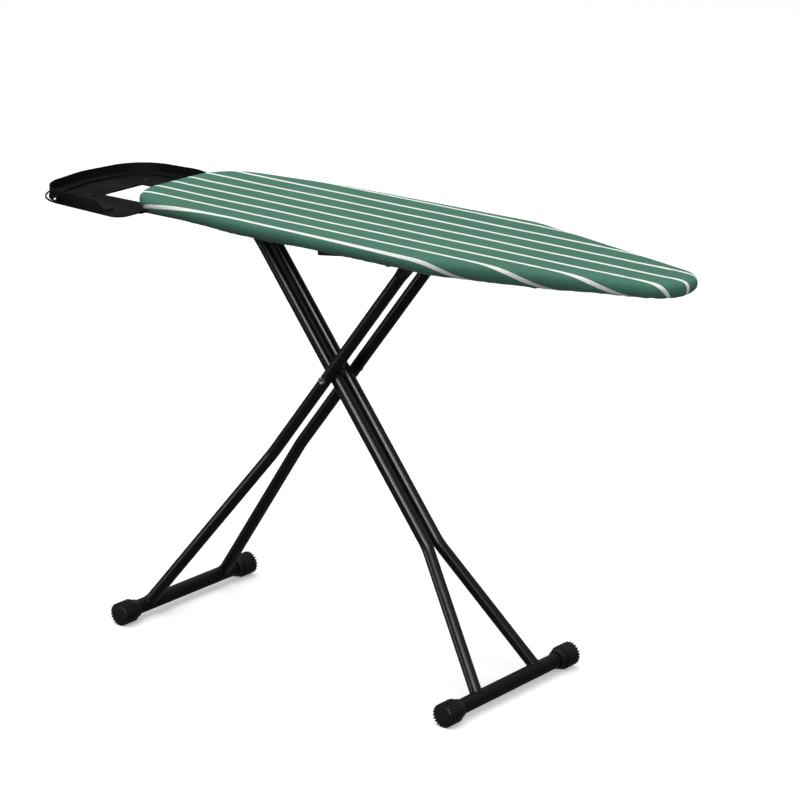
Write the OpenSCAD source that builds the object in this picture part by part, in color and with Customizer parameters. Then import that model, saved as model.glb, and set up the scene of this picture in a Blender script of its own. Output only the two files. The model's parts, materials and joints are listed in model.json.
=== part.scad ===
// Folding ironing board with a sliding iron rest.
// +X runs along the board to its nose, +Y to the far side, +Z up; the floor is z = 0.

/* [Board] */
// Length of the covered board from the square end to the nose
board_len = 1226; // [1180:1:1300]
// Width of the covered board
board_wid = 372; // [364:1:400]
// Drop from the ironing surface to the leg rods under it
rod_drop = 41; // [41:1:50]
// Depth of the fabric skirt
skirt_depth = 31; // [28:1:36]

/* [Legs] */
// Leg length from the crossing bolt to the rod under the board
upper_leg = 355.4; // [340:0.1:370]
// Leg length from the crossing bolt to the foot bar
lower_leg = 677; // [660:1:700]
// Angle of every leg to the floor
leg_angle = 52.5; // [48:0.5:56]
// Leg tube diameter
leg_d = 24; // [20:0.5:25]
// Wall thickness of the leg tubes and the foot bars
tube_wall = 1; // [0.8:0.1:1.5]
// Distance of the hinge rod from the square end
hinge_from_end = 214; // [200:1:230]

/* [Feet] */
// Length over the end caps of the foot bar under the nose
inner_foot_len = 410; // [400:1:440]
// Length over the end caps of the foot bar under the iron rest
outer_foot_len = 400; // [380:1:420]
// Foot bar diameter
foot_d = 30; // [28:1:32]
// Diameter of the ribbed end caps
cap_d = 47; // [44:1:50]

/* [Iron rest] */
// Length of the tray from its back edge to the arm tips
tray_len = 282; // [270:1:290]
// How far the tray's back edge stands out past the square end
tray_out = 260; // [250:1:270]
// Height of the tray wall over its floor
tray_wall_h = 23; // [18:1:25]

/* [Hidden] */
$fn = 48;
fit_gap = 0.05;     // radial clearance of a running fit

// Heights
foot_z = cap_d / 2;
rod_z = foot_z + (upper_leg + lower_leg) * sin(leg_angle);
top_z = rod_z + rod_drop;
bolt_z = foot_z + lower_leg * sin(leg_angle);

// Places along the board; x = 0 is the middle between tray and nose
end_x = (tray_out - board_len) / 2;
hinge_x = end_x + hinge_from_end;
bolt_x = hinge_x + upper_leg * cos(leg_angle);
// X of the slide rod when the legs stand at angle a
function slide_place(a) = hinge_x + 2 * upper_leg * cos(a);
slide_x = slide_place(leg_angle);
tray_x = end_x - tray_out;
half_w = board_wid / 2;

// Layers of the ironing top
skin = 1.2;
pad_t = 6;
panel_t = 0.6;
pad_z = top_z - skin - pad_t;
panel_z = pad_z - panel_t;
rim_h = 16;
rim_w = 14;
rim_in = 5;         // the rim lies this far inside the cover's outline
rim_z = panel_z - rim_h;
hem_w = 20;

// Leg tubes, rods and bolt
leg_r = leg_d / 2;
rod_r = 5;
bolt_r = 4;
outer_y = 43;       // outer legs at the crossing
inner_y = 17;       // inner legs at the crossing
outer_foot_y = 115;
inner_foot_y = 95;
outer_bend = -225;  // where the outer legs start to splay, from the bolt
inner_bend = -375;
bend_r = 80;        // radius of the tube bends
bend_lap = 1;       // a bend runs this many degrees into the straights
flat_len = 62;      // flattened tube end
flat_t = 8;

// Tracks for the slide rod
track_y = 67;
web_t = 2;
roller_r = 7;
slot_r = roller_r + 0.35;
// Leg angles of the height notches, and of the folded legs
notch_angles = [56, 52.5, 48.5, 44.5, 40, 35, 29.5, 23];
folded_angle = 3;
track_first_x = slide_place(notch_angles[0]);
track_last_x = slide_place(folded_angle) + 2;
track_x0 = end_x + 562;
track_x1 = track_last_x + 14;

// Carriage and lever
cheek_y = 59.5;
cheek_t = 4;
lever_pin_x = slide_x - 40;
lever_pin_y = -74.5;
lever_z = rod_z - 20.2;
lever_t = 5.8;
// Bends of the lever from its pin to its tip, from above
lever_path = [[0, 0], [-24, 14], [-96, 14], [-150, -16]];
grip_len = 52;

// Tray
floor_z = top_z - 45;
floor_t = 2.5;
wall_t = 2.2;
ledge_h = 4;        // raised ledge along the foot of the wall
tray_in_x = 124;    // back edge of the tray opening, from the tray's back edge
tray_in_y = 58;
rail_y = 84;
rail_r = 4;
rail_z = floor_z - rail_r - 0.3;
rail_x0 = tray_x + 112;
rail_x1 = tray_x + 557;
guide_x = end_x + 258;
clamp_x = [tray_x + 162, tray_x + 252];

// Colours
cloth = [0.32, 0.53, 0.44];
felt = [0.85, 0.84, 0.8];
black = [0.09, 0.09, 0.1];
dark = [0.13, 0.13, 0.14];
zinc = [0.75, 0.76, 0.78];

// ---- outlines -------------------------------------------------------------

function dot2(a, b) = a[0] * b[0] + a[1] * b[1];
// The circle [x, y, r] that reaches farthest along n
function reach(c, n) = dot2([c[0], c[1]], n) + c[2];
function farthest(cs, n, i = 0, best = 0) =
    i == len(cs) ? best
    : farthest(cs, n, i + 1, reach(cs[i], n) > reach(cs[best], n) ? i : best);
// Tight band round a set of circles, drawn inwards by d
function band(cs, d, step) = [
    for (a = [0 : step : 359.9])
    let (n = [cos(a), sin(a)], c = cs[farthest(cs, n)])
    [c[0] + (c[2] - d) * n[0], c[1] + (c[2] - d) * n[1]]
];

nose_r = 72;
corner_r = 106;
corner_y = half_w - 130;
board_circles = [
    [end_x + corner_r, corner_y, corner_r], [end_x + corner_r, -corner_y, corner_r],
    [end_x + 310, 0, half_w], [end_x + 739, 0, half_w],
    [end_x + board_len - nose_r, 0, nose_r]
];
// Edge of the tray's flange, and the outside of its wall
tray_corner = [tray_x + 112, 67];
tray_tip_x = tray_x + tray_len - 24;
// back is how far the middle of the band's back lies from the tray's own
function tray_band(corner_r, back, middle_r, tip_y, tip_r) = [
    [tray_x + back + middle_r, 0, middle_r],
    for (side = [1, -1])
        each [[tray_corner[0], side * tray_corner[1], corner_r],
              [tray_tip_x, side * tip_y, tip_r]]
];
tray_circles = tray_band(100, 0, 140, 154, 24);
wall_circles = tray_band(91, 12, 129, 154, 13);
ledge_circles = tray_band(65, 38, 103, 138, 3);

module board_shape(inset) {
    polygon(band(board_circles, inset, 5));
}

module tray_shape(inset) {
    polygon(band(tray_circles, inset, 6));
}

module wall_shape(inset) {
    polygon(band(wall_circles, inset, 6));
}

module ledge_shape() {
    polygon(band(ledge_circles, 0, 6));
}

// ---- general shapes -------------------------------------------------------

module y_cylinder(x, y, z, r, len) {
    translate([x, y + len / 2, z])
        rotate([90, 0, 0])
            cylinder(r = r, h = len);
}

module y_ring(x, y, z, r_out, r_in, len) {
    difference() {
        y_cylinder(x, y, z, r_out, len);
        y_cylinder(x, y, z, r_in, len + 2);
    }
}

module block(x, y, z, sx, sy, sz) {
    translate([x - sx / 2, y - sy / 2, z])
        cube([sx, sy, sz]);
}

// ---- ironing top ----------------------------------------------------------

module fabric_cover() {
    color(cloth)
    difference() {
        translate([0, 0, top_z - skirt_depth])
            linear_extrude(skirt_depth)
                board_shape(0);
        translate([0, 0, top_z - skirt_depth + skin])
            linear_extrude(skirt_depth - 2 * skin)
                board_shape(skin);
        translate([0, 0, top_z - skirt_depth - 1])
            linear_extrude(skin + 2)
                board_shape(hem_w);
    }
}

module hem_cord() {
    color(felt)
    translate([0, 0, top_z - skirt_depth + skin])
    difference() {
        linear_extrude(2.4)
            board_shape(hem_w - 3);
        translate([0, 0, -1])
            linear_extrude(5)
                board_shape(hem_w - 0.6);
    }
}

module felt_pad() {
    color(felt)
    translate([0, 0, pad_z])
        linear_extrude(pad_t)
            board_shape(skin);
}

module top_panel() {
    color(dark)
    difference() {
        translate([0, 0, panel_z])
            linear_extrude(panel_t)
                board_shape(rim_in);
        for (i = [0 : 20], j = [-1 : 1])
            translate([end_x + 110 + i * 48, j * 60, panel_z - 1])
                cylinder(r = 3, h = panel_t + 2);
    }
}

module board_rim() {
    color(black)
    translate([0, 0, rim_z])
    difference() {
        linear_extrude(rim_h)
            board_shape(rim_in);
        translate([0, 0, -1])
            linear_extrude(rim_h - 1.5 + 1)
                board_shape(rim_in + 1.5);
        translate([0, 0, -1])
            linear_extrude(rim_h + 2)
                board_shape(rim_in + rim_w);
    }
}

// Channel across the board from rim to rim
module brace(x, width, depth) {
    color(black)
    difference() {
        intersection() {
            block(x, 0, panel_z - depth, width, board_wid, depth);
            translate([0, 0, panel_z - depth])
                linear_extrude(depth)
                    board_shape(rim_in + rim_w);
        }
        block(x, 0, panel_z - depth - 1, width - 3, board_wid, depth - 0.5);
    }
}

module rear_brace() {
    brace(hinge_x, 48, 16);
}

module guide_brace() {
    brace(guide_x, 30, 16);
}

module mid_brace() {
    brace(track_x0 + 8, 30, 16);
}

module front_brace() {
    brace(track_x1 - 8, 30, 16);
}

// One side of the height track: a slotted web under a flange
module track(side) {
    web_z0 = rod_z - slot_r - 2;
    web_z1 = panel_z - 16;
    y = side * track_y;
    color(black)
    difference() {
        union() {
            block((track_x0 + track_x1) / 2, y, web_z0,
                  track_x1 - track_x0, web_t, web_z1 - web_z0);
            block((track_x0 + track_x1) / 2, y + side * 7, web_z1 - web_t,
                  track_x1 - track_x0, 14, web_t);
        }
        block((track_first_x + track_last_x) / 2, y, rod_z - slot_r,
              track_last_x - track_first_x, web_t + 2, 2 * slot_r);
        for (x = [track_first_x, track_last_x])
            y_cylinder(x, y, rod_z, slot_r, web_t + 2);
        for (a = notch_angles)
            y_cylinder(slide_place(a), y, rod_z + 4, slot_r, web_t + 2);
    }
}

module track_near() {
    track(-1);
}

module track_far() {
    track(1);
}

bracket_y = 46;
bracket_t = 3;

// Folded steel bracket that holds one end of the hinge rod
module hinge_bracket(side) {
    z1 = panel_z - 16;
    color(black)
    difference() {
        union() {
            block(hinge_x, side * bracket_y, rod_z, 26, bracket_t, z1 - rod_z);
            y_cylinder(hinge_x, side * bracket_y, rod_z, 13, bracket_t);
            block(hinge_x, side * (bracket_y + 9), z1 - bracket_t, 40, 21, bracket_t);
        }
        y_cylinder(hinge_x, side * bracket_y, rod_z, rod_r + fit_gap, bracket_t + 2);
    }
}

module hinge_bracket_near() {
    hinge_bracket(-1);
}

module hinge_bracket_far() {
    hinge_bracket(1);
}

module frame_rivets() {
    color(zinc)
    for (side = [-1, 1]) {
        for (dx = [-14, 14])
            translate([hinge_x + dx, side * (bracket_y + 13), panel_z - 16 - bracket_t - 2])
                cylinder(r = 3.5, h = 2);
        for (x = [track_x0 + 8, track_x1 - 8])
            translate([x, side * (track_y + 8), panel_z - 16 - web_t - 2])
                cylinder(r = 3.5, h = 2);
    }
}

// ---- legs -----------------------------------------------------------------

// Frame of a leg pair: origin at the bolt, +Z up the leg, side -1 inner, 1 outer
module leg_frame(side) {
    translate([bolt_x, 0, bolt_z])
        rotate([0, side * (90 - leg_angle), 0])
            children();
}

module pipe(r, len) {
    difference() {
        cylinder(r = r, h = len);
        translate([0, 0, -1])
            cylinder(r = r - tube_wall, h = len + 2);
    }
}

// Bent steel tube with a flattened, drilled end, drawn on the far side
module leg_tube(y_up, y_foot, bend, bolt_clear) {
    round_top = upper_leg - flat_len;
    splay = atan2(y_foot - y_up, bend + lower_leg);
    arc_z = bend + bend_r * tan(splay / 2);
    low = norm([y_foot - y_up, bend + lower_leg]) - bend_r * tan(splay / 2);
    difference() {
        union() {
            translate([0, y_up, arc_z])
                pipe(leg_r, round_top - arc_z);
            translate([0, y_up + bend_r, arc_z])
                rotate([-90, 0, 0])
                    rotate([0, 90, 0])
                        rotate(-bend_lap)
                            rotate_extrude(angle = splay + 2 * bend_lap)
                                translate([bend_r, 0])
                                    difference() {
                                        circle(r = leg_r + 0.06);
                                        circle(r = leg_r + 0.06 - tube_wall);
                                    }
            translate([0, y_foot, -lower_leg])
                rotate([splay, 0, 0])
                    pipe(leg_r, low);
            hull() {
                translate([0, y_up, round_top])
                    cylinder(r = leg_r, h = 1, $fn = 32);
                block(0, y_up, round_top + 22, leg_d + 3, flat_t, 1);
            }
            block(0, y_up, round_top + 23, leg_d + 3, flat_t, flat_len - 23);
            y_cylinder(0, y_up, upper_leg, leg_r + 1.5, flat_t);
        }
        y_cylinder(0, y_up, upper_leg, rod_r, leg_d);
        y_cylinder(0, y_up, 0, bolt_r + bolt_clear, leg_d + 4);
        y_cylinder(0, y_foot, -lower_leg, foot_d / 2, 100);
    }
}

module leg(side, end, y_up, y_foot, bend, bolt_clear) {
    color(black)
    leg_frame(side)
        mirror([0, end < 0 ? 1 : 0, 0])
            leg_tube(y_up, y_foot, bend, bolt_clear);
}

module inner_leg_near() {
    leg(-1, -1, inner_y, inner_foot_y, inner_bend, 0);
}

module inner_leg_far() {
    leg(-1, 1, inner_y, inner_foot_y, inner_bend, 0);
}

module outer_leg_near() {
    leg(1, -1, outer_y, outer_foot_y, outer_bend, fit_gap);
}

module outer_leg_far() {
    leg(1, 1, outer_y, outer_foot_y, outer_bend, fit_gap);
}

function foot_x(side) = bolt_x - side * lower_leg * cos(leg_angle);
cap_len = 36;
collar_len = 13;

module foot_bar(side, len) {
    color(black)
    y_ring(foot_x(side), 0, foot_z, foot_d / 2, foot_d / 2 - tube_wall, len - 8);
}

// Ribbed plastic cap on the end of a foot bar; one rib stands on the floor
module foot_cap(side, end, len) {
    ribs = 22;
    rib_h = 2.2;
    core_r = cap_d / 2 - rib_h;
    color(dark)
    translate([foot_x(side), end * len / 2, foot_z])
    rotate([end * 90, 0, 0])
    difference() {
        union() {
            translate([0, 0, 2])
                cylinder(r = core_r, h = cap_len - 2);
            cylinder(r1 = core_r - 2, r2 = core_r, h = 2);
            translate([0, 0, cap_len])
                cylinder(r = foot_d / 2 + 3.5, h = collar_len);
            for (i = [0 : ribs - 1])
                rotate(90 + i * 360 / ribs)
                    translate([core_r - 1, -1.7, 1])
                        cube([rib_h + 1, 3.4, cap_len - 2]);
        }
        translate([0, 0, 4])
            cylinder(r = foot_d / 2, h = cap_len + collar_len);
    }
}

module inner_foot_bar() {
    foot_bar(-1, inner_foot_len);
}

module inner_cap_near() {
    foot_cap(-1, -1, inner_foot_len);
}

module inner_cap_far() {
    foot_cap(-1, 1, inner_foot_len);
}

module outer_foot_bar() {
    foot_bar(1, outer_foot_len);
}

module outer_cap_near() {
    foot_cap(1, -1, outer_foot_len);
}

module outer_cap_far() {
    foot_cap(1, 1, outer_foot_len);
}

// ---- rods and bolt --------------------------------------------------------

hinge_rod_len = 2 * (bracket_y + 7);
slide_rod_len = 2 * (track_y + 9);

// Domed push-on cap on both ends of a rod
module rod_caps(x, len) {
    color(dark)
    for (side = [-1, 1])
        difference() {
            y_cylinder(x, side * (len / 2 - 1), rod_z, 8, 6);
            y_cylinder(x, side * (len / 2 - 3), rod_z, rod_r, 6);
        }
}

module hinge_rod() {
    color(zinc)
    y_cylinder(hinge_x, 0, rod_z, rod_r, hinge_rod_len);
}

module hinge_rod_caps() {
    rod_caps(hinge_x, hinge_rod_len);
}

module hinge_spacers() {
    gap0 = inner_y + flat_t / 2;
    gap1 = bracket_y - bracket_t / 2 - 0.5;
    color(dark) {
        for (side = [-1, 1])
            y_ring(hinge_x, side * (gap0 + gap1) / 2, rod_z, 8, rod_r, gap1 - gap0);
        y_ring(hinge_x, 0, rod_z, 8, rod_r, 2 * inner_y - flat_t);
    }
}

module slide_rod() {
    color(zinc)
    y_cylinder(slide_x, 0, rod_z, rod_r, slide_rod_len);
}

module slide_rollers() {
    color(dark)
    for (side = [-1, 1])
        y_ring(slide_x, side * track_y, rod_z, roller_r, rod_r, 6);
}

module slide_rod_caps() {
    rod_caps(slide_x, slide_rod_len);
}

bolt_len = 2 * (outer_y + leg_r);

module pivot_bolt() {
    head_y = -bolt_len / 2;
    color(zinc) {
        y_cylinder(bolt_x, 2, bolt_z, bolt_r, bolt_len + 12);
        difference() {
            y_cylinder(bolt_x, head_y - 2.5, bolt_z, 7.5, 5);
            translate([bolt_x, head_y - 3, bolt_z])
                rotate([90, 0, 0])
                    cylinder(r = 3, h = 4, $fn = 6);
        }
    }
}

module pivot_nut() {
    color(zinc)
    difference() {
        translate([bolt_x, bolt_len / 2 + 7, bolt_z])
            rotate([90, 0, 0])
                cylinder(r = 7.5, h = 6, $fn = 6);
        y_cylinder(bolt_x, bolt_len / 2 + 4, bolt_z, bolt_r, 10);
    }
}

module pivot_bushes() {
    mid_y = (outer_y + inner_y) / 2;
    color(dark)
    for (side = [-1, 1])
        y_ring(bolt_x, side * mid_y, bolt_z, 9, bolt_r, 1.2);
}

module pivot_spacer() {
    color(dark)
    y_ring(bolt_x, 0, bolt_z, 8, bolt_r, 2 * (inner_y - leg_r));
}

// ---- carriage and lever ---------------------------------------------------

module latch_carriage() {
    plate_z = rod_z + 14;
    ear_z = rod_z - 14;
    color(black)
    difference() {
        union() {
            block(slide_x - 8, 0, plate_z, 44, 2 * cheek_y + cheek_t, 2.5);
            for (side = [-1, 1]) {
                block(slide_x - 8, side * cheek_y, rod_z - 5, 44, cheek_t, 19.5);
                y_cylinder(slide_x, side * cheek_y, rod_z, 10.5, cheek_t);
            }
            block(slide_x - 23, -cheek_y, ear_z, 14, cheek_t, 12);
            block(slide_x - 34, -cheek_y - 11, ear_z, 36, 26, 2.8);
        }
        for (side = [-1, 1])
            y_cylinder(slide_x, side * cheek_y, rod_z, rod_r + fit_gap, cheek_t + 2);
        translate([lever_pin_x, lever_pin_y, ear_z - 1])
            cylinder(r = 3, h = 6);
    }
}

module lever_pin() {
    color(zinc)
    translate([lever_pin_x, lever_pin_y, lever_z]) {
        translate([0, 0, -2])
            cylinder(r = 5, h = 1.6);
        translate([0, 0, -1])
            cylinder(r = 3, h = 19);
        translate([0, 0, 18])
            cylinder(r = 5, h = 1.5);
    }
}

// Torsion spring round the top of the lever pin
module lever_spring() {
    spring_z = rod_z - 11.2;
    color(zinc)
    translate([lever_pin_x, lever_pin_y, spring_z])
    difference() {
        cylinder(r = 5.4, h = 8);
        translate([0, 0, -1])
            cylinder(r = 3.6, h = 10);
    }
}

// Flat strip of width w from a to b, with round ends a touch wider than it
module strip(a, b, w, h) {
    d = b - a;
    end_r = w / 2 + 0.2;
    translate(a)
        cylinder(r = end_r, h = h);
    translate(a)
        rotate(atan2(d[1], d[0]))
            translate([0, -w / 2, 0])
                cube([norm(d), w, h]);
    translate(b)
        cylinder(r = end_r, h = h);
}

// Frame at the lever's tip, +X pointing back along the grip
module lever_tip() {
    tip = lever_path[3];
    d = lever_path[2] - tip;
    translate(tip)
        rotate(atan2(d[1], d[0]))
            children();
}

module height_lever() {
    color(black)
    translate([lever_pin_x, lever_pin_y, lever_z])
    difference() {
        union() {
            cylinder(r = 8, h = lever_t);
            for (i = [0 : 2])
                strip(lever_path[i], lever_path[i + 1], 9, lever_t);
        }
        translate([0, 0, -1])
            cylinder(r = 3 + fit_gap, h = lever_t + 2);
        lever_tip()
            translate([-10, -8, 2.2])
                cube([grip_len + 10, 16, lever_t]);
    }
}

module lever_grip() {
    color(dark)
    translate([lever_pin_x, lever_pin_y, lever_z])
    lever_tip()
    difference() {
        union() {
            translate([0, -6.5, -1])
                cube([grip_len, 13, 8]);
            translate([0, 0, -1])
                cylinder(r = 6.5, h = 8);
        }
        translate([0, -4.5, 0])
            cube([grip_len + 1, 9, 2.2]);
        cylinder(r = 4.8, h = 2.2);
    }
}

// ---- iron rest ------------------------------------------------------------

// Cuts the walls down in a quarter curve before the arm tips
module wall_end_cut() {
    run = 60;
    difference() {
        block(tray_x + 235, 0, floor_z + floor_t, 120, 500, 60);
        translate([tray_x + 170, 0, floor_z + floor_t])
            rotate([90, 0, 0])
                linear_extrude(520, center = true)
                    polygon([[0, 0], for (a = [0 : 10 : 90])
                        [run * sin(a), (tray_wall_h - 2) * cos(a)]]);
    }
}

module iron_tray() {
    color(black)
    difference() {
        union() {
            translate([0, 0, floor_z])
                linear_extrude(floor_t)
                    tray_shape(0);
            difference() {
                translate([0, 0, floor_z + 0.5])
                    linear_extrude(tray_wall_h)
                        wall_shape(0);
                translate([0, 0, floor_z + floor_t + ledge_h])
                    linear_extrude(tray_wall_h)
                        wall_shape(wall_t);
                translate([0, 0, floor_z])
                    linear_extrude(floor_t + ledge_h + 1)
                        ledge_shape();
                wall_end_cut();
            }
        }
        block(tray_x + tray_in_x + 150, 0, floor_z - 1, 300, 2 * tray_in_y, 60);
        rim_slot(tray_x + 170, 0, 163, 197);
        for (side = [-1, 1])
            rim_slot(tray_corner[0], side * tray_corner[1], 180 - side * 20, 180 - side * 76);
        for (side = [-1, 1])
            rail_slot(side);
    }
}

// Keyhole in the tray floor where a rail turns up
module rail_slot(side) {
    hole_r = rail_r + 0.4;
    translate([rail_x0, side * rail_y, floor_z - 1])
        cylinder(r = hole_r, h = 10);
    block(rail_x0 + 4.5, side * rail_y, floor_z - 1, 9, 2 * hole_r, 10);
}

// Curved slot through the flange between angles a0 and a1, seen from a centre
module rim_slot(x, y, a0, a1) {
    intersection() {
        translate([0, 0, floor_z - 1])
            linear_extrude(10)
                difference() {
                    tray_shape(3);
                    wall_shape(-1.5);
                }
        translate([x, y, floor_z - 2])
            linear_extrude(12)
                polygon([[0, 0], 220 * [cos(a0), sin(a0)], 220 * [cos(a1), sin(a1)]]);
    }
}

// Rail under the tray; its end turns up through the floor
module tray_rail(side) {
    hook_r = 9;
    color(zinc)
    translate([rail_x0, side * rail_y, rail_z]) {
        translate([hook_r, 0, 0])
            rotate([0, 90, 0])
                cylinder(r = rail_r, h = rail_x1 - rail_x0 - hook_r);
        translate([hook_r, 0, hook_r])
            rotate([90, 0, 0])
                rotate(180)
                    rotate_extrude(angle = 90)
                        translate([hook_r, 0])
                            circle(r = rail_r);
    }
}

module tray_rail_near() {
    tray_rail(-1);
}

module tray_rail_far() {
    tray_rail(1);
}

module rail_clamps() {
    color(dark)
    for (side = [-1, 1])
        for (x = clamp_x)
            difference() {
                block(x, side * rail_y, rail_z - 6, 14, 18, floor_z - rail_z + 6);
                translate([x - 10, side * rail_y, rail_z])
                    rotate([0, 90, 0])
                        cylinder(r = rail_r, h = 20);
            }
}

module rail_guides() {
    guide_z0 = rail_z - 7;
    color(black)
    for (side = [-1, 1])
        difference() {
            block(guide_x, side * rail_y, guide_z0, 26, 20, rim_z - guide_z0);
            translate([guide_x - 20, side * rail_y, rail_z])
                rotate([0, 90, 0])
                    cylinder(r = rail_r + 0.3, h = 40);
        }
}

module tray_rivets() {
    color(dark)
    for (side = [-1, 1])
        for (p = [[80, 39], [231, 94]])
            translate([tray_x + p[0], side * p[1], floor_z + floor_t])
                cylinder(r1 = 4, r2 = 3, h = 1.4);
}

// Small stops on the flange, outside the wall
module tray_stops() {
    color(dark)
    for (side = [-1, 1])
        translate([tray_x + 100, side * 164.5, floor_z + floor_t]) {
            cylinder(r = 5, h = 11);
            translate([0, 0, 11])
                cylinder(r1 = 5, r2 = 3.5, h = 2);
        }
}

fabric_cover();
hem_cord();
felt_pad();
top_panel();
board_rim();
rear_brace();
guide_brace();
mid_brace();
front_brace();
track_near();
track_far();
hinge_bracket_near();
hinge_bracket_far();
rail_guides();
frame_rivets();
inner_leg_near();
inner_leg_far();
inner_foot_bar();
inner_cap_near();
inner_cap_far();
hinge_rod();
hinge_rod_caps();
hinge_spacers();
pivot_bolt();
pivot_nut();
pivot_bushes();
pivot_spacer();
outer_leg_near();
outer_leg_far();
outer_foot_bar();
outer_cap_near();
outer_cap_far();
slide_rod();
slide_rollers();
slide_rod_caps();
latch_carriage();
lever_pin();
lever_spring();
height_lever();
lever_grip();
iron_tray();
tray_rail_near();
tray_rail_far();
rail_clamps();
tray_rivets();
tray_stops();
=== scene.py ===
"""Looks of a folding ironing board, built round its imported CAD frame. Lengths are in metres."""

import json
import math

import bmesh
import bpy
import numpy as np
from mathutils import Matrix, Vector

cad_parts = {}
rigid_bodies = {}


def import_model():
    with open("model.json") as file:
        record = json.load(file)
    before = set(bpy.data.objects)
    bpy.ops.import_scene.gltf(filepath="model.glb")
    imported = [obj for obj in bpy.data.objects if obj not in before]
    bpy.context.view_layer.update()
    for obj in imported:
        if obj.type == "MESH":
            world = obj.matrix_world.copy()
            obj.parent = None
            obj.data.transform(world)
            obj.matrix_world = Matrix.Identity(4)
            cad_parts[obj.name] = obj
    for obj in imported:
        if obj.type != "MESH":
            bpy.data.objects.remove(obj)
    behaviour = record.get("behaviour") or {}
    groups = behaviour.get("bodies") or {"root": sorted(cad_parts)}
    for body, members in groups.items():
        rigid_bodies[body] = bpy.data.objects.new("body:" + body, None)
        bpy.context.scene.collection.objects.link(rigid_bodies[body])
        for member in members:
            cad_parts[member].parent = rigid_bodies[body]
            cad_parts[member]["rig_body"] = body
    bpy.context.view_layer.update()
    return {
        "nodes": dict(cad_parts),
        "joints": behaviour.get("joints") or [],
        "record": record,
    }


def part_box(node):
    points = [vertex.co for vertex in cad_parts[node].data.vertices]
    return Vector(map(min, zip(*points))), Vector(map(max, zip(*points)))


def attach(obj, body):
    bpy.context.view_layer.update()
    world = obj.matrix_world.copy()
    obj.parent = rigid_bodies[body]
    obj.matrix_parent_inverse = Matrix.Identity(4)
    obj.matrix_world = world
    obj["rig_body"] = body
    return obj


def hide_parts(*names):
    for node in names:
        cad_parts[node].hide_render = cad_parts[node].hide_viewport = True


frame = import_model()
NODES = frame["nodes"]
MM = 0.001
TAU = 2 * math.pi


# ---- the frame's own places ------------------------------------------------

cover_low, cover_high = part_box("fabric_cover")
END_X, NOSE_X = cover_low.x, cover_high.x
HALF_W, TOP_Z = cover_high.y, cover_high.z
PANEL_LOW, PANEL_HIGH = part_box("top_panel")
# The outline is the hull of circles: two at the square end's corners, two as wide as the board
# where its wide part begins and ends, and one at the nose
CORNER_R, NOSE_R = 106 * MM, 72 * MM
CORNER_Y = HALF_W - 130 * MM
WIDE_FROM, WIDE_TO = END_X + 310 * MM, END_X + 739 * MM


# ---- camera, light and floor -----------------------------------------------

CAMERA_PLACE = (3.699, -4.580, 2.338)
CAMERA_AZIMUTH, CAMERA_ELEVATION, CAMERA_ROLL = 38.21, 17.17, 0.33
CAMERA_LENS = 144.0
NEUTRAL, COOL = (1, 1, 1), (0.86, 0.94, 1.0)
LIGHTS = [  # name, place, target, size, power, tint, and whether it shows in highlights alone
    ("top_softbox", (-0.4, -0.6, 4.6), (0, 0, 0.4), (5.0, 4.0), 150, NEUTRAL, False),
    ("key_gloss", (2.4, -4.05, 3.0), (0, 0, 0.6), (1.3, 2.6), 470, COOL, True),
    ("right_gloss", (3.3, -1.7, 3.9), (0, 0, 0.6), (0.8, 0.8), 60, COOL, True),
    ("low_left_gloss", (-3.5, -4.0, 0.6), (-0.5, -0.1, 0.8), (1.6, 0.9), 70, NEUTRAL, True),
    ("nose_fill", (2.4, -1.7, 1.0), (0.6, -0.1, 0.84), (0.8, 0.8), 12, NEUTRAL, False),
]
# The sky's strength at its two heights, from low to high
SKY_HEIGHTS, SKY_STRENGTHS = (0.0, 0.8), (0.18, 0.88)
FLOOR_REACH = 40  # to each side of the middle


def link(obj):
    bpy.context.scene.collection.objects.link(obj)
    return obj


def make_camera():
    az, el = math.radians(CAMERA_AZIMUTH), math.radians(CAMERA_ELEVATION)
    back = Vector((math.sin(az) * math.cos(el), -math.cos(az) * math.cos(el), math.sin(el)))
    right = Vector((math.cos(az), math.sin(az), 0))
    up = back.cross(right)
    turn = Matrix.Rotation(math.radians(CAMERA_ROLL), 3, back)
    right, up = turn @ right, turn @ up
    data = bpy.data.cameras.new("camera")
    data.lens = CAMERA_LENS
    data.sensor_width = 36
    data.clip_end = 200
    camera = link(bpy.data.objects.new("camera", data))
    axes = Matrix((right, up, back)).transposed().to_4x4()
    camera.matrix_world = Matrix.Translation(CAMERA_PLACE) @ axes
    bpy.context.scene.camera = camera


def area_light(name, place, target, size, power, tint, gloss_only):
    data = bpy.data.lights.new(name, "AREA")
    data.shape = "RECTANGLE"
    data.size, data.size_y = size
    data.energy = power
    data.color = tint
    light = link(bpy.data.objects.new(name, data))
    aim = (Vector(target) - Vector(place)).to_track_quat("-Z", "Y")
    light.matrix_world = Matrix.Translation(place) @ aim.to_matrix().to_4x4()
    light.visible_diffuse = not gloss_only


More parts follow.
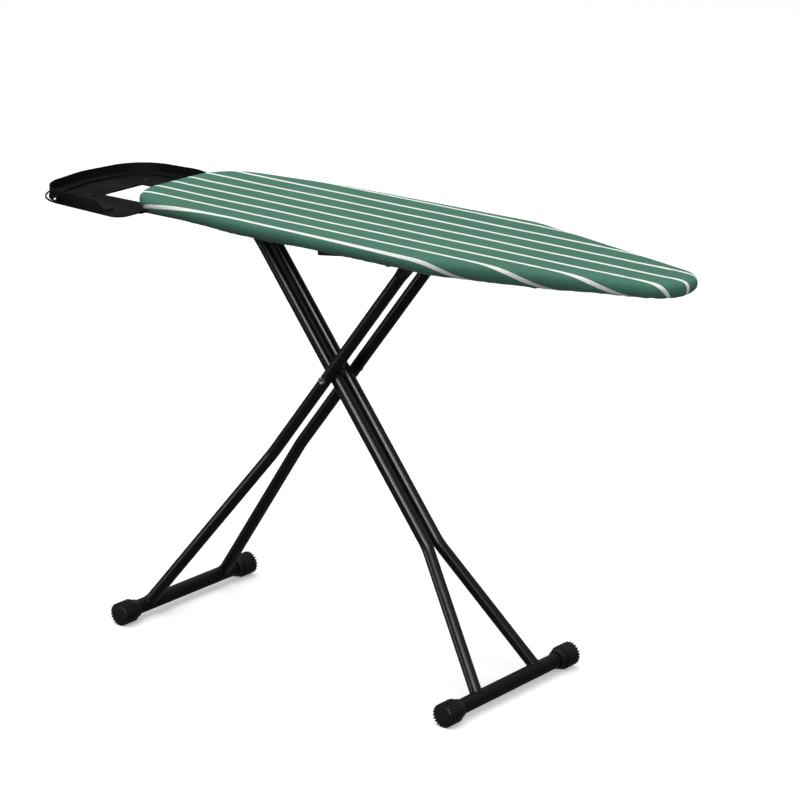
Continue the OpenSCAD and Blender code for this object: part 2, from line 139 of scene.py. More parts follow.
def make_lights():
    world = bpy.data.worlds.new("studio")
    bpy.context.scene.world = world
    world.use_nodes = True
    tree = world.node_tree
    backdrop = tree.nodes["Background"]
    backdrop.inputs["Color"].default_value = (1, 1, 1, 1)
    # Light comes mostly from above; the camera sees an even white
    way = tree.nodes.new("ShaderNodeSeparateXYZ")
    tree.links.new(tree.nodes.new("ShaderNodeTexCoord").outputs["Generated"], way.inputs[0])
    fall = tree.nodes.new("ShaderNodeMapRange")
    for index, number in enumerate(SKY_HEIGHTS + SKY_STRENGTHS, 1):
        fall.inputs[index].default_value = number
    tree.links.new(way.outputs["Z"], fall.inputs["Value"])
    strength = tree.nodes.new("ShaderNodeMath")
    strength.operation = "MAXIMUM"
    tree.links.new(fall.outputs["Result"], strength.inputs[0])
    path = tree.nodes.new("ShaderNodeLightPath")
    tree.links.new(path.outputs["Is Camera Ray"], strength.inputs[1])
    tree.links.new(strength.outputs[0], backdrop.inputs["Strength"])
    for light in LIGHTS:
        area_light(*light)
    bpy.context.scene.view_settings.view_transform = "Standard"


def make_floor():
    """White floor that lights nothing and shows in no highlight, so black paint stays black."""
    mesh = bpy.data.meshes.new("floor")
    corners = [(x * FLOOR_REACH, y * FLOOR_REACH, 0)
               for x, y in ((-1, -1), (1, -1), (1, 1), (-1, 1))]
    mesh.from_pydata(corners, [], [(0, 1, 2, 3)])
    floor = link(bpy.data.objects.new("floor", mesh))
    surface = Surface("studio_floor", (0.88, 0.88, 0.88), roughness=0.9)
    surface.set("Specular IOR Level", 0.1)
    surface.set("Emission Color", (1, 1, 1, 1))
    surface.set("Emission Strength", 0.3)
    mesh.materials.append(surface.material)
    floor.visible_diffuse = floor.visible_glossy = False


# ---- materials -------------------------------------------------------------


class Surface:
    """A Principled material with short calls for its procedural detail."""

    def __init__(self, name, color, roughness=0.5, metallic=0.0):
        self.material = bpy.data.materials.new(name)
        self.material.use_nodes = True
        self.tree = self.material.node_tree
        self.shader = self.tree.nodes["Principled BSDF"]
        self.set("Base Color", (*color, 1))
        self.set("Roughness", roughness)
        self.set("Metallic", metallic)

    def set(self, socket, value):
        self.shader.inputs[socket].default_value = value

    def node(self, kind, **settings):
        made = self.tree.nodes.new("ShaderNode" + kind)
        for key, value in settings.items():
            if key in made.inputs:
                made.inputs[key].default_value = value
            else:
                setattr(made, key, value)
        return made

    def link(self, out, into):
        self.tree.links.new(out, into)

    def place(self):
        """Position on the piece at rest."""
        return self.node("TexCoord").outputs["Object"]

    def noise(self, scale, detail=3, vector=None, distortion=0.0):
        made = self.node("TexNoise", Scale=scale, Detail=detail, Distortion=distortion)
        self.link(vector or self.place(), made.inputs["Vector"])
        return made.outputs["Fac"]

    def span(self, value, low, high, to_low=0.0, to_high=1.0):
        made = self.node("MapRange")
        for index, number in enumerate((low, high, to_low, to_high), 1):
            made.inputs[index].default_value = number
        self.link(value, made.inputs["Value"])
        return made.outputs["Result"]

    def math(self, operation, a, b=0.0, c=0.0):
        made = self.node("Math", operation=operation)
        for socket, value in zip(made.inputs, (a, b, c)):
            if isinstance(value, (int, float)):
                socket.default_value = value
            else:
                self.link(value, socket)
        return made.outputs[0]

    def mix(self, share, a, b):
        """Colour a where share is 0, b where it is 1."""
        made = self.node("Mix", data_type="RGBA")
        sockets = (made.inputs[0], made.inputs[6], made.inputs[7])
        for socket, value in zip(sockets, (share, a, b)):
            if isinstance(value, (int, float, tuple)):
                socket.default_value = value
            else:
                self.link(value, socket)
        return made.outputs[2]

    def rough(self, value):
        self.link(value, self.shader.inputs["Roughness"])

    def tint(self, value):
        self.link(value, self.shader.inputs["Base Color"])

    def bump(self, height, distance, strength):
        made = self.node("Bump", Distance=distance, Strength=strength)
        self.link(height, made.inputs["Height"])
        self.link(made.outputs["Normal"], self.shader.inputs["Normal"])


def shade(color, factor):
    return (*(c * factor for c in color), 1)


def powder_coat(name, color, roughness, gloss=0.3):
    """Satin powder coat: fine orange peel, slightly uneven gloss, dusty worn patches."""
    s = Surface(name, color, roughness)
    s.set("Specular IOR Level", gloss)
    s.rough(s.span(s.noise(9, 4), 0.3, 0.7, roughness - 0.05, roughness + 0.05))
    s.tint(s.mix(s.span(s.noise(34, 5), 0.42, 0.72), shade(color, 0.85), shade(color, 1.5)))
    s.bump(s.noise(1100, 2), 0.12 * MM, 0.3)
    return s.material


def moulded_plastic(name, color, roughness, gloss, grain=2200):
    """Injection-moulded plastic with a fine spark-eroded grain and rubbed spots."""
    s = Surface(name, color, roughness)
    s.set("Specular IOR Level", gloss)
    rub = s.span(s.noise(18, 5, distortion=0.6), 0.45, 0.7)
    s.rough(s.span(rub, 0, 1, roughness + 0.06, roughness - 0.1))
    s.tint(s.mix(rub, shade(color, 0.9), shade(color, 1.35)))
    s.bump(s.noise(grain, 3), 0.1 * MM, 0.55)
    return s.material


def zinc_plate(name, color):
    """Bright zinc plate with cloudy spangles."""
    s = Surface(name, color, 0.3, 1.0)
    s.tint(s.mix(s.span(s.noise(60, 4), 0.4, 0.65), shade(color, 0.75), shade(color, 1.1)))
    s.rough(s.span(s.noise(140, 4), 0.35, 0.7, 0.2, 0.42))
    s.bump(s.noise(1500, 2), 0.05 * MM, 0.4)
    return s.material


def needled_felt(name, color):
    """Matt fibres pressed together, also used for thread and cord."""
    s = Surface(name, color, 0.95)
    s.set("Specular IOR Level", 0.1)
    s.set("Sheen Weight", 0.3)
    fibre = s.noise(900, 6, distortion=2.5)
    s.tint(s.mix(s.span(fibre, 0.3, 0.7), shade(color, 0.72), shade(color, 1.08)))
    s.bump(fibre, 0.6 * MM, 0.8)
    return s.material


GREEN = (0.040, 0.148, 0.097)
WHITE = (0.78, 0.79, 0.76)
STRIPE_PITCH = 47.8 * MM
STRIPE_WIDTH = 7.8 * MM
STRIPE_SKEW = 2.0  # degrees from the board's middle line
STRIPE_MIDDLE_Y = 12.5 * MM  # where the middle stripe crosses the board's half length
STRIPE_WOBBLE, STRIPE_FRAY = 1.6 * MM, 0.35 * MM
THREAD = 0.62 * MM  # one warp thread and its gap
CUT = "cut"  # attribute that holds a point's place on the flat cut


def striped_twill(name):
    """Green cotton twill with woven off-white stripes that run a little askew."""
    s = Surface(name, GREEN, 0.85)
    s.set("Specular IOR Level", 0.18)
    s.set("Sheen Weight", 0.05)
    s.set("Sheen Roughness", 0.5)
    cut = s.node("Attribute", attribute_name=CUT).outputs["Vector"]
    axes = s.node("SeparateXYZ")
    s.link(cut, axes.inputs[0])
    x, y = axes.outputs[0], axes.outputs[1]
    middle_x = (END_X + NOSE_X) / 2
    lean = math.tan(math.radians(STRIPE_SKEW))
    across = s.math("MULTIPLY_ADD", x, lean, y)
    across = s.math("SUBTRACT", across, STRIPE_MIDDLE_Y + lean * middle_x)
    wobble = s.math("MULTIPLY", s.math("SUBTRACT", s.noise(7, 2, cut), 0.5), STRIPE_WOBBLE)
    across = s.math("ADD", across, wobble)
    nearest = s.math("PINGPONG", across, STRIPE_PITCH / 2)
    half = STRIPE_WIDTH / 2
    stripe = s.span(nearest, half - STRIPE_FRAY, half + STRIPE_FRAY, 1, 0)

    warp = s.math("SINE", s.math("MULTIPLY", y, TAU / THREAD))
    rib = s.math("SINE", s.math("MULTIPLY", s.math("ADD", x, y), TAU / (2.2 * THREAD)))
    slub = s.noise(260, 3, cut)
    weave = s.math("ADD", s.math("MULTIPLY", warp, 0.4), s.math("MULTIPLY", rib, 0.6))
    weave = s.math("ADD", weave, s.math("MULTIPLY", slub, 0.8))

    faded = s.span(s.noise(5, 4, cut), 0.3, 0.7)
    ground = s.mix(faded, shade(GREEN, 0.92), shade(GREEN, 1.07))
    band = s.mix(s.span(slub, 0.3, 0.7), shade(WHITE, 0.88), shade(WHITE, 1.05))
    cloth = s.mix(stripe, ground, band)
    # Painted shade: a darkened copy of the cloth fills the low parts of the weave, the same heights
    # that the bump uses
    painted_weave_shade = s.mix(0.24, cloth, (0.01, 0.03, 0.02, 1))
    s.tint(s.mix(s.span(weave, -0.7, 0.9), painted_weave_shade, cloth))
    s.rough(s.span(slub, 0.3, 0.7, 0.78, 0.92))
    s.bump(weave, 0.16 * MM, 0.6)
    return s.material


# ---- mesh helpers ----------------------------------------------------------


def mesh_piece(name, points, faces, body, smooth=True):
    mesh = bpy.data.meshes.new(name)
    mesh.from_pydata([tuple(p) for p in points], [], faces)
    mesh.validate()
    if smooth:
        mesh.shade_smooth()
    piece = link(bpy.data.objects.new(name, mesh))
    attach(piece, body)
    return piece


def bake_modifiers(piece):
    """The piece's mesh becomes what its modifiers make of it."""
    graph = bpy.context.evaluated_depsgraph_get()
    mesh = bpy.data.meshes.new_from_object(piece.evaluated_get(graph))
    mesh.name = piece.name
    piece.modifiers.clear()
    piece.data = mesh


def coat(piece, material):
    piece.data.materials.clear()
    piece.data.materials.append(material)


def grid_faces(rows, columns):
    """Quads between closed rows of points, each joined to the next."""
    return [
        (r * columns + c, r * columns + (c + 1) % columns,
         (r + 1) * columns + (c + 1) % columns, (r + 1) * columns + c)
        for r in range(rows - 1)
        for c in range(columns)
    ]


def tube_points(path, radius, sides, closed=False):
    """Rings of a round tube along a path of points."""
    path = np.asarray(path, float)
    if closed:
        ahead, behind = np.roll(path, -1, 0), np.roll(path, 1, 0)
    else:
        ahead, behind = np.vstack([path[1:], path[-1:]]), np.vstack([path[:1], path[:-1]])
    along = ahead - behind
    along /= np.linalg.norm(along, axis=1)[:, None]
    side = np.cross(along[0], (0.13, 0.2, 0.97))  # any direction that isn't the path's own
    rings = []
    for point, way in zip(path, along):
        side = side - way * side.dot(way)
        side /= np.linalg.norm(side)
        other = np.cross(way, side)
        for k in range(sides):
            angle = TAU * k / sides
            spoke = math.cos(angle) * side + math.sin(angle) * other
            rings.append(point + radius * spoke)
    return rings


def tube(name, path, radius, sides, body, closed=False):
    points = tube_points(path, radius, sides, closed)
    faces = grid_faces(len(path), sides)
    if closed:
        start = (len(path) - 1) * sides
        faces += [
            (start + k, start + (k + 1) % sides, (k + 1) % sides, k) for k in range(sides)]
    else:
        faces += [tuple(range(sides))[::-1], tuple(range(len(points) - sides, len(points)))]
    return mesh_piece(name, points, faces, body)


SHARP_ANGLE = math.radians(28)


def softened(node, width):
    """A copy of a CAD node with small rounds along its sharp edges, shown in its place."""
    source = NODES[node]
    mesh = source.data.copy()
    work = bmesh.new()
    work.from_mesh(mesh)
    bmesh.ops.remove_doubles(work, verts=work.verts, dist=5e-6)
    bmesh.ops.dissolve_limit(
        work, angle_limit=math.radians(1), verts=work.verts, edges=work.edges)
    for edge in work.edges:
        edge.smooth = True
    work.to_mesh(mesh)
    work.free()
    piece = link(bpy.data.objects.new(node + "_rounded", mesh))
    bevel = piece.modifiers.new("rounds", "BEVEL")
    bevel.width = width
    bevel.segments = 2
    bevel.limit_method = "ANGLE"
    bevel.angle_limit = SHARP_ANGLE
    bevel.use_clamp_overlap = True
    bake_modifiers(piece)
    piece.data.shade_smooth()
    piece.data.set_sharp_from_angle(angle=SHARP_ANGLE)
    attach(piece, source["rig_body"])
    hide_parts(node)
    return piece


# ---- outline of the ironing top --------------------------------------------

OUTLINE_CIRCLES = np.array([  # x, y and radius
    (END_X + CORNER_R, CORNER_Y, CORNER_R), (END_X + CORNER_R, -CORNER_Y, CORNER_R),
    (WIDE_FROM, 0, HALF_W), (WIDE_TO, 0, HALF_W), (NOSE_X - NOSE_R, 0, NOSE_R),
])
OUTLINE_DIRECTIONS = 1441


def board_outline(count):
    """Points evenly spaced round the board from the middle of the square end, their outward
    normals and their distances along the outline."""
    circles = OUTLINE_CIRCLES
    angles = math.pi + np.linspace(0, TAU, OUTLINE_DIRECTIONS)
    normals = np.stack([np.cos(angles), np.sin(angles)], 1)
    reach = normals @ circles[:, :2].T + circles[:, 2]
    best = circles[reach.argmax(1)]
    edge = best[:, :2] + best[:, 2:] * normals
    edge[0] = edge[-1] = (END_X, 0)
    lengths = np.r_[0, np.cumsum(np.linalg.norm(np.diff(edge, axis=0), axis=1))]
    at = np.linspace(0, lengths[-1], count, endpoint=False)
    points = np.stack([np.interp(at, lengths, edge[:, k]) for k in (0, 1)], 1)
    way = np.roll(points, -1, 0) - np.roll(points, 1, 0)
    way /= np.linalg.norm(way, axis=1)[:, None]
    out = np.stack([way[:, 1], -way[:, 0]], 1)
    return points, out, at


def smooth_noise(at, total, waves, seed):
    """Closed noise round the outline, about -1 to 1: a few sines with seeded phases."""
    dice = np.random.default_rng(seed)
    value = np.zeros_like(at)
    for k in waves:
        value += math.sqrt(1 / len(waves)) * np.sin(TAU * k * at / total + dice.uniform(0, TAU))
    return value


# ---- fabric cover ----------------------------------------------------------

RING_COUNT = 432
# Distance out from the outline and depth under the top, in mm, from the flat top round the
# side and under the rim to the hem, which is rolled round its cord.
EDGE_PROFILE = [
    (-34, 0.0), (-22, 0.2), (-13, 0.9), (-7, 2.4), (-3, 5.0), (-0.9, 8.6), (0, 12.6),
    (0, 16.4), (-0.9, 20.0), (-2.9, 23.4), (-6.0, 26.4), (-9.6, 28.8), (-13.6, 30.4), (-17.4, 31.0),
    (-19.8, 30.6), (-21.1, 29.0), (-20.6, 26.9), (-18.7, 25.9), (-16.9, 26.6), (-16.3, 28.4),
]
SPINE_RINGS, SPINE_CROWDING = 14, 1.15  # above 1, the rings crowd towards the edge
# How far the corners of the square end pull the stripes outwards, and over what distance it fades
CORNER_PULL, CORNER_PULL_REACH = 9 * MM, 190 * MM
PAD_DIP = 0.35 * MM  # how unevenly the fabric lies on its pad


def profile_lengths():
    """Distance along the fabric from the outline's own line to each profile point."""
    profile = np.array(EDGE_PROFILE)
    steps = np.linalg.norm(np.diff(profile, axis=0), axis=1)
    return (profile[0, 0] + np.r_[0, np.cumsum(steps)]) * MM


# The skirt is what hangs lower than SIDE_DEPTH. It takes these shares of the profile's depth at
# these distances from the square end, in mm: short along the wide middle and deeper where the
# board tapers.
SIDE_DEPTH = 16.4 * MM
SKIRT_STATIONS = (0, 120, 700, 860, 1080, 1226)
SKIRT_SHARES = (0.95, 0.93, 0.97, 1.28, 1.2, 1.0)
GATHERS, FINE_GATHERS = 96, 171  # waves round the whole hem
STRAIGHT_GATHER = 0.42  # gathers along a straight side, as a share of those at the sharpest turn
BEND_WINDOW = 25  # outline points over which its turning is averaged
GATHER_PUSH, HEM_INSET = 2.0 * MM, 0.4 * MM
HEM_RAISE, HEM_SAG, HEM_SCALLOP = 0.7, 1.0, 2.1  # mm, at the hem: even, slow waves and gathers
HANG_FROM, ROLL_FROM, HEM_DEPTH = 6 * MM, 25 * MM, 31 * MM


class CoverEdge:
    """The outline of the cover with its gathers, strong at turns and faint on straight sides."""

    def __init__(self, count):
        self.points, self.out, self.at = board_outline(count)
        self.total = self.at[-1] + self.at[1]
        self.sag = self.noise((2, 5, 9, 14, 23), 12)
        turn = np.roll(self.out, -3, 0) - np.roll(self.out, 3, 0)
        bend = np.linalg.norm(turn, axis=1)
        around = BEND_WINDOW // 2
        bend = np.r_[bend[-around:], bend, bend[:around]]
        bend = np.convolve(bend, np.ones(BEND_WINDOW) / BEND_WINDOW, "valid")
        strength = STRAIGHT_GATHER + (1 - STRAIGHT_GATHER) * (bend / bend.max()) ** 0.7
        turns = TAU * self.at / self.total
        phase = GATHERS * turns + 2.1 * self.noise((3, 5, 8, 13, 21), 4)
        fine = FINE_GATHERS * turns + 1.7 * self.noise((4, 9, 17), 9)
        gathers = 0.65 * np.sin(phase) + 0.35 * np.sin(fine)
        self.gathers = strength * gathers * (0.75 + 0.35 * self.noise((6, 11, 19, 31), 6))
        stations = END_X + np.array(SKIRT_STATIONS) * MM
        self.skirt = np.interp(self.points[:, 0], stations, SKIRT_SHARES)

    def noise(self, waves, seed):
        return smooth_noise(self.at, self.total, waves, seed)

    def ring(self, away, depth):
        """The closed row of points that lies away out of the outline and depth under the top."""
        hang = np.clip((depth - HANG_FROM) / (HEM_DEPTH - HANG_FROM), 0, 1)
        rolled = np.clip((depth - ROLL_FROM) / (HEM_DEPTH - ROLL_FROM), 0, 1)
        push = hang * (1 - 0.55 * rolled) * GATHER_PUSH * self.gathers
        push = np.where(push > 0, push * 0.6, push * 0.9) - HEM_INSET * hang
        deep = np.minimum(depth, SIDE_DEPTH) + max(0, depth - SIDE_DEPTH) * self.skirt
        scallops = HEM_RAISE + HEM_SAG * self.sag + HEM_SCALLOP * self.gathers
        drop = deep - rolled * MM * scallops
        return np.c_[self.points + (away + push)[:, None] * self.out, TOP_Z - drop]


def spine_points(count):
    """A point on the board's middle line for each point of its outline."""
    share = 1 - np.abs(np.linspace(-1, 1, count, endpoint=False))
    x = END_X + CORNER_R + share * (NOSE_X - NOSE_R - END_X - CORNER_R)
    return np.c_[x, np.zeros(count)]


def weld(piece):
    """Joins points that lie together and turns the faces outwards."""
    work = bmesh.new()
    work.from_mesh(piece.data)
    bmesh.ops.remove_doubles(work, verts=work.verts, dist=1e-6)
    bmesh.ops.recalc_face_normals(work, faces=work.faces)
    work.to_mesh(piece.data)
    work.free()


def make_cover(body, edge):
    """The cover as one sheet from the middle line over the sides to the rolled hem."""
    places, cuts = [], []
    flat_z = np.zeros(RING_COUNT)
    lengths = profile_lengths()
    profile = np.array(EDGE_PROFILE) * MM
    spine = spine_points(RING_COUNT)
    first = edge.points + profile[0, 0] * edge.out
    for ring in range(SPINE_RINGS, 0, -1):
        share = (ring / SPINE_RINGS) ** SPINE_CROWDING
        flat = first + (spine - first) * share
        dip = PAD_DIP * (np.sin(flat[:, 0] * 23 + 2) * np.sin(flat[:, 1] * 41 + 1) - 1)
        places.append(np.c_[flat, TOP_Z + dip * min(1, 4 * share)])
        cuts.append(np.c_[flat, flat_z])
    from_end = (edge.points[:, 0] - END_X) / CORNER_PULL_REACH
    pull = CORNER_PULL * np.exp(-from_end ** 2) * edge.out[:, 1] * np.abs(edge.out[:, 1])
    for (away, depth), length in zip(profile, lengths):
        places.append(edge.ring(away, depth))
        cut = edge.points + length * edge.out
        cut[:, 1] -= pull * np.clip(1 - length / lengths[0], 0, 1)
        cuts.append(np.c_[cut, flat_z])
    faces = grid_faces(len(places), RING_COUNT)
    piece = mesh_piece("striped_cover", np.vstack(places), faces, body)
    attribute = piece.data.attributes.new(CUT, "FLOAT_VECTOR", "POINT")
    attribute.data.foreach_set("vector", np.vstack(cuts).astype(np.float32).ravel())
    weld(piece)
    finer = piece.modifiers.new("finer", "SUBSURF")
    finer.levels = finer.render_levels = 1
    bake_modifiers(piece)
    coat(piece, striped_twill("striped_twill"))
    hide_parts("fabric_cover")
    flat = edge.points + lengths[-1] * edge.out
    length, width = flat.max(0) - flat.min(0)
    stitches = make_stitches(body, edge)


CORD_AWAY, CORD_DEPTH, CORD_R = -18.6 * MM, 28.4 * MM, 1.1 * MM
STITCH_AWAY, STITCH_DEPTH = -13.4 * MM, 30.5 * MM


def make_draw_cord(body, edge):
    """Braided cord that runs round inside the rolled hem."""
    path = edge.ring(CORD_AWAY, CORD_DEPTH)
    piece = tube("draw_cord", path, CORD_R, 8, body, closed=True)
    coat(piece, needled_felt("draw_cord_braid", (0.72, 0.72, 0.68)))
    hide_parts("hem_cord")


def make_stitches(body, edge):
    """One row of thread stitches through the hem, on its underside."""
    row = edge.ring(STITCH_AWAY, STITCH_DEPTH)
    way = np.roll(row, -1, 0) - row
    long, wide, proud, pitch = 2.7 * MM, 0.32 * MM, 0.3 * MM, 3.7 * MM
    count = int(edge.total / pitch)
    places, faces = [], []
    for k in range(count):
        at = k / count * len(row)
        spot = row[int(at)] + way[int(at)] * (at % 1)
        along = way[int(at)] / np.linalg.norm(way[int(at)])
        side = np.cross(along, (0, 0, 1))
        start = len(places)
        for reach, lift in ((-1, 0.0), (-0.6, -1.0), (0.6, -1.0), (1, 0.0)):
            for across in (-1, 1):
                places.append(spot + along * reach * long / 2 + side * across * wide
                              + np.array((0, 0, lift * proud)))
        faces += [(start + i, start + i + 1, start + i + 3, start + i + 2) for i in (0, 2, 4)]
        faces.append((start, start + 6, start + 7, start + 1))
        faces.append((start, start + 2, start + 4, start + 6))
        faces.append((start + 1, start + 7, start + 5, start + 3))
    piece = mesh_piece("hem_stitches", places, faces, body)
    coat(piece, needled_felt("hem_thread", (0.05, 0.15, 0.1)))
    return piece


FELT_POINTS = 288
FELT_LEVEL = 0.97  # of its half thickness, where the felt is flat
FELT_RAGGED = 0.4 * MM
FELT_PROFILE = [  # out from the outline in mm, and up from the felt's middle in half thicknesses
    (-34, FELT_LEVEL), (-17, 0.95), (-9.5, 0.62), (-6.2, 0.1), (-4.6, -0.5),
    (-5.6, -FELT_LEVEL), (-34, -FELT_LEVEL),
]


def make_felt(body):
    """The felt layer under the cover: two skins joined at a soft, ragged edge."""
    points, out, at = board_outline(FELT_POINTS)
    ragged = FELT_RAGGED * smooth_noise(at, at[-1] + at[1], (31, 47, 71, 90), 3)
    low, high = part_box("felt_pad")
    middle, half = (low.z + high.z) / 2, (high.z - low.z) / 2
    spine = spine_points(FELT_POINTS)
    flat = points + FELT_PROFILE[0][0] * MM * out
    skins = [flat + (spine - flat) * share for share in (1, 0.8, 0.6, 0.4, 0.2)]

    def at_level(ring, level):
        return np.c_[ring, np.full(FELT_POINTS, middle + level * half)]

    rings = [at_level(skin, FELT_LEVEL) for skin in skins]
    for away, level in FELT_PROFILE:
        rings.append(at_level(points + (away * MM + ragged)[:, None] * out, level))
    rings += [at_level(skin, -FELT_LEVEL) for skin in skins[::-1]]
    faces = grid_faces(len(rings), FELT_POINTS)
    piece = mesh_piece("felt_layer", np.vstack(rings), faces, body)
    weld(piece)
    coat(piece, needled_felt("needled_felt", (0.7, 0.69, 0.64)))
    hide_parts("felt_pad")


# ---- steel mesh under the felt ---------------------------------------------

STRAND_LEAN, STRAND_GAP, STRAND_W = math.radians(27), 11.5 * MM, 1.7 * MM
STRAND_T = (PANEL_HIGH.z - PANEL_LOW.z) * 0.9
STRAND_INSET = 6 * MM
STRAND_ORIGIN, STRAND_REACH = np.array((0.12, 0.0)), 0.9  # counted from here, to past both ends
BORDER_OUTER, BORDER_INNER = 5.2 * MM, 16 * MM  # distances inside the outline


def strand_ends(outline, origin, way):
    """Where the line through origin along way enters and leaves a convex outline, or None."""
    ahead = np.roll(outline, -1, 0)
    side = np.array((-way[1], way[0]))
    a, b = (outline - origin) @ side, (ahead - origin) @ side
    cross = np.nonzero((a < 0) != (b < 0))[0]
    if len(cross) != 2:
        return None
    share = (a[cross] / (a[cross] - b[cross]))[:, None]
    met = outline[cross] + share * (ahead[cross] - outline[cross])
    return sorted(((met - origin) @ way).tolist())


def make_mesh_panel(body):
    """Expanded steel mesh: two families of flat strands that cross, in a steel border."""
    points, out, _ = board_outline(240)
    outline = points - STRAND_INSET * out
    z = (PANEL_LOW.z + PANEL_HIGH.z) / 2
    places, faces = [], []
    for sign in (1, -1):
        way = np.array((math.cos(STRAND_LEAN), sign * math.sin(STRAND_LEAN)))
        side = np.array((-way[1], way[0]))
        reach = int(STRAND_REACH / STRAND_GAP)
        for k in range(-reach, reach + 1):
            origin = STRAND_ORIGIN + side * k * STRAND_GAP
            ends = strand_ends(outline, origin, way)
            if ends is None:
                continue
            start = len(places)
            for t in ends:
                for dy, dz in ((-1, -1), (1, -1), (1, 1), (-1, 1)):
                    spot = origin + way * t + side * dy * STRAND_W / 2
                    # The two families lie at slightly different heights
                    places.append((*spot, z + (dz + 0.2 * sign) * STRAND_T / 2.4))
            for a in range(4):
                b = (a + 1) % 4
                faces.append((start + a, start + b, start + 4 + b, start + 4 + a))
            faces.append((start + 3, start + 2, start + 1, start))
            faces.append((start + 4, start + 5, start + 6, start + 7))
    start = len(places)
    for inset, dz in ((BORDER_OUTER, -1), (BORDER_INNER, -1), (BORDER_INNER, 1), (BORDER_OUTER, 1)):
        for spot in points - inset * out:
            places.append((*spot, z + dz * STRAND_T / 2))
    count = len(points)
    for row in range(4):
        for c in range(count):
            a, b = start + row * count, start + (row + 1) % 4 * count
            faces.append((a + c, b + c, b + (c + 1) % count, a + (c + 1) % count))
    piece = mesh_piece("steel_mesh", places, faces, body, smooth=False)
    coat(piece, powder_coat("mesh_coat", (0.02, 0.02, 0.021), 0.5))
    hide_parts("top_panel")


# ---- small steel pieces ----------------------------------------------------

SPRING_WIRE_R, SPRING_TURNS, SPRING_STEPS = 0.75 * MM, 5.5, 144


def make_spring(body):
    """Wound coil round the lever pin."""
    low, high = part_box("lever_spring")
    middle = (low + high) / 2
    radius = (high.x - low.x) / 2 - SPRING_WIRE_R
    rise = high.z - low.z - 2 * SPRING_WIRE_R
    path = []
    for share in np.linspace(0, 1, SPRING_STEPS + 1):
        angle = TAU * SPRING_TURNS * share
        path.append((middle.x + radius * math.cos(angle), middle.y + radius * math.sin(angle),
                     low.z + SPRING_WIRE_R + rise * share))
    piece = tube("lever_coil", path, SPRING_WIRE_R, 8, body)
    coat(piece, zinc_plate("spring_wire", (0.5, 0.51, 0.53)))
    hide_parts("lever_spring")


# Half spacing of the legs at the crossing and at the foot, and the bend's distance from the bolt
LEG_PAIRS = {
    "inner": {"y_up": 17 * MM, "y_foot": 95 * MM, "bend": 375 * MM},
    "outer": {"y_up": 43 * MM, "y_foot": 115 * MM, "bend": 225 * MM},
}
LEG_R, FOOT_R = 12 * MM, 15 * MM
WELD_R, WELD_PROUD, WELD_STEPS = 1.7 * MM, 0.3 * MM, 72


def make_welds():
    """A weld bead round the foot of each leg, where its tube meets the foot bar."""
    bolt = next(j for j in frame["joints"] if j["name"] == "leg_cross")["pos_m"]
    bead = powder_coat("weld_powder_coat", (0.0035, 0.0036, 0.0038), 0.32, 0.17)
    for pair, leg in LEG_PAIRS.items():
        low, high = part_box(pair + "_foot_bar")
        foot = np.array(((low.x + high.x) / 2, 0, (low.z + high.z) / 2))
        lower_leg = math.hypot(bolt[0] - foot[0], bolt[2] - foot[2])
        up = np.array((bolt[0] - foot[0], 0, bolt[2] - foot[2])) / lower_leg
        for end, side in (("near", -1), ("far", 1)):
            rise = up * (lower_leg - leg["bend"])
            inwards = np.array((0, side * (leg["y_up"] - leg["y_foot"]), 0))
            axis = (rise + inwards) / np.linalg.norm(rise + inwards)
            first = np.cross(axis, (0, 1, 0))
            first /= np.linalg.norm(first)
            second = np.cross(axis, first)
            path = []
            for turn in np.linspace(0, TAU, WELD_STEPS, endpoint=False):
                spoke = math.cos(turn) * first + math.sin(turn) * second
                spoke = (LEG_R + WELD_PROUD) * spoke
                # Where the line along the tube's side leaves the foot bar
                a = axis[0] ** 2 + axis[2] ** 2
                b = spoke[0] * axis[0] + spoke[2] * axis[2]
                c = spoke[0] ** 2 + spoke[2] ** 2 - (FOOT_R + WELD_PROUD) ** 2
                rise_along = (-b + math.sqrt(b * b - a * c)) / a
                path.append(foot + (0, side * leg["y_foot"], 0) + spoke + rise_along * axis)
            piece = tube(f"{pair}_weld_{end}", path, WELD_R, 8, pair + "_legs", closed=True)
            coat(piece, bead)


SCREW_R, SCREW_DOME, SCREW_SIDES = 2.6 * MM, 1.1 * MM, 24
SCREW_LIFT = 1 * MM  # above the stop's middle
SCREW_SUNK = 0.3  # share of the dome that lies inside the stop
SCREW_PROFILE = [  # shares of the radius and of the dome's height, from the rim into the recess
    (1.0, 0.0), (1.0, 0.35), (0.86, 0.72), (0.58, 0.94), (0.3, 1.0), (0.24, 0.55), (0.02, 0.55),
]


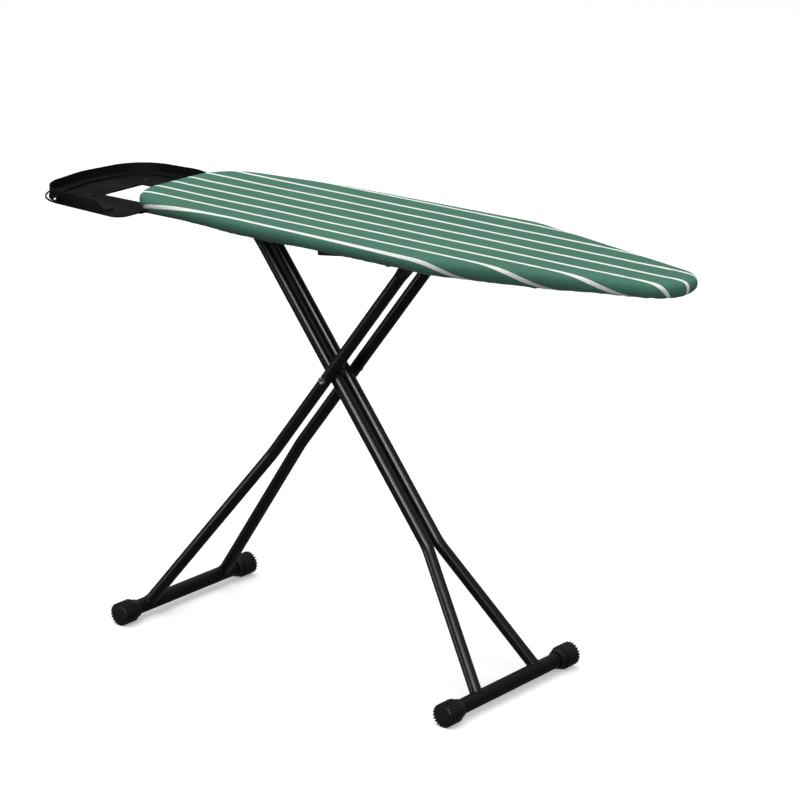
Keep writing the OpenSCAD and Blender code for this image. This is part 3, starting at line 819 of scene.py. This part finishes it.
def make_stop_screws():
    """A domed screw head on the outer side of each stop that stands beside the tray."""
    low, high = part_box("tray_stops")
    body = NODES["tray_stops"]["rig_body"]
    middle_x, middle_z = (low.x + high.x) / 2, (low.z + high.z) / 2 + SCREW_LIFT
    for end, side, face_y in (("near", -1, low.y), ("far", 1, high.y)):
        rings = []
        for reach, rise in SCREW_PROFILE:
            for k in range(SCREW_SIDES):
                angle = TAU * k / SCREW_SIDES
                rings.append((middle_x + SCREW_R * reach * math.cos(angle),
                              face_y + side * SCREW_DOME * (rise - SCREW_SUNK),
                              middle_z + SCREW_R * reach * math.sin(angle)))
        faces = grid_faces(len(SCREW_PROFILE), SCREW_SIDES)
        faces.append(tuple(range(SCREW_SIDES)))
        faces.append(tuple(range(len(rings) - SCREW_SIDES, len(rings)))[::-1])
        piece = mesh_piece("stop_screw_" + end, rings, faces, body)
        weld(piece)
        coat(piece, zinc_plate("screw_zinc_" + end, (0.7, 0.71, 0.73)))


def finish_cad():
    """Materials of the CAD nodes that stay, and rounds on those with sharp edges."""
    leg = powder_coat("leg_powder_coat", (0.0045, 0.0046, 0.0049), 0.27, 0.17)
    foot = powder_coat("foot_lacquer", (0.0045, 0.0045, 0.0048), 0.36, 0.08)
    steel = powder_coat("frame_powder_coat", (0.005, 0.005, 0.0055), 0.36, 0.16)
    cap = moulded_plastic("cap_plastic", (0.0075, 0.0075, 0.008), 0.42, 0.14)
    small = moulded_plastic("small_plastic", (0.008, 0.008, 0.009), 0.42, 0.2)
    grip = moulded_plastic("grip_plastic", (0.008, 0.008, 0.009), 0.55, 0.2, 1500)
    tray = moulded_plastic("tray_plastic", (0.003, 0.0032, 0.0036), 0.6, 0.035, 1800)
    zinc = zinc_plate("zinc_plate", (0.2, 0.205, 0.215))
    rail = powder_coat("rail_lacquer", (0.006, 0.006, 0.007), 0.3, 0.12)
    finish = {"frame_black": steel, "leg_black": leg, "foot_black": foot, "cap_plastic": cap,
              "small_plastic": small, "grip": grip, "zinc": zinc, "tray_black": tray}
    rounds = {"iron_tray": 0.9, "latch_carriage": 0.5, "height_lever": 0.7, "lever_grip": 1.2,
              "rail_clamps": 0.9, "rail_guides": 0.9, "pivot_bolt": 0.5, "pivot_nut": 0.5}
    for end in ("_near", "_far"):
        rounds["hinge_bracket" + end] = 0.5
        rounds["inner_cap" + end] = rounds["outer_cap" + end] = 0.45
        rounds["track" + end] = 0.35
    for row in frame["record"]["subparts"]:
        node, slot = row["node"], row["material_slot"]
        if slot not in finish or NODES[node].hide_render:
            continue
        piece, material = NODES[node], finish[slot]
        if node in rounds:
            piece = softened(node, rounds[node] * MM)
        coat(piece, rail if node.startswith("tray_rail") else material)


def main():
    make_camera()
    make_lights()
    make_floor()
    edge = CoverEdge(RING_COUNT)
    make_cover("board", edge)
    make_draw_cord("board", edge)
    make_felt("board")
    make_mesh_panel("board")
    make_spring("carriage")
    make_welds()
    make_stop_screws()
    finish_cad()


main()
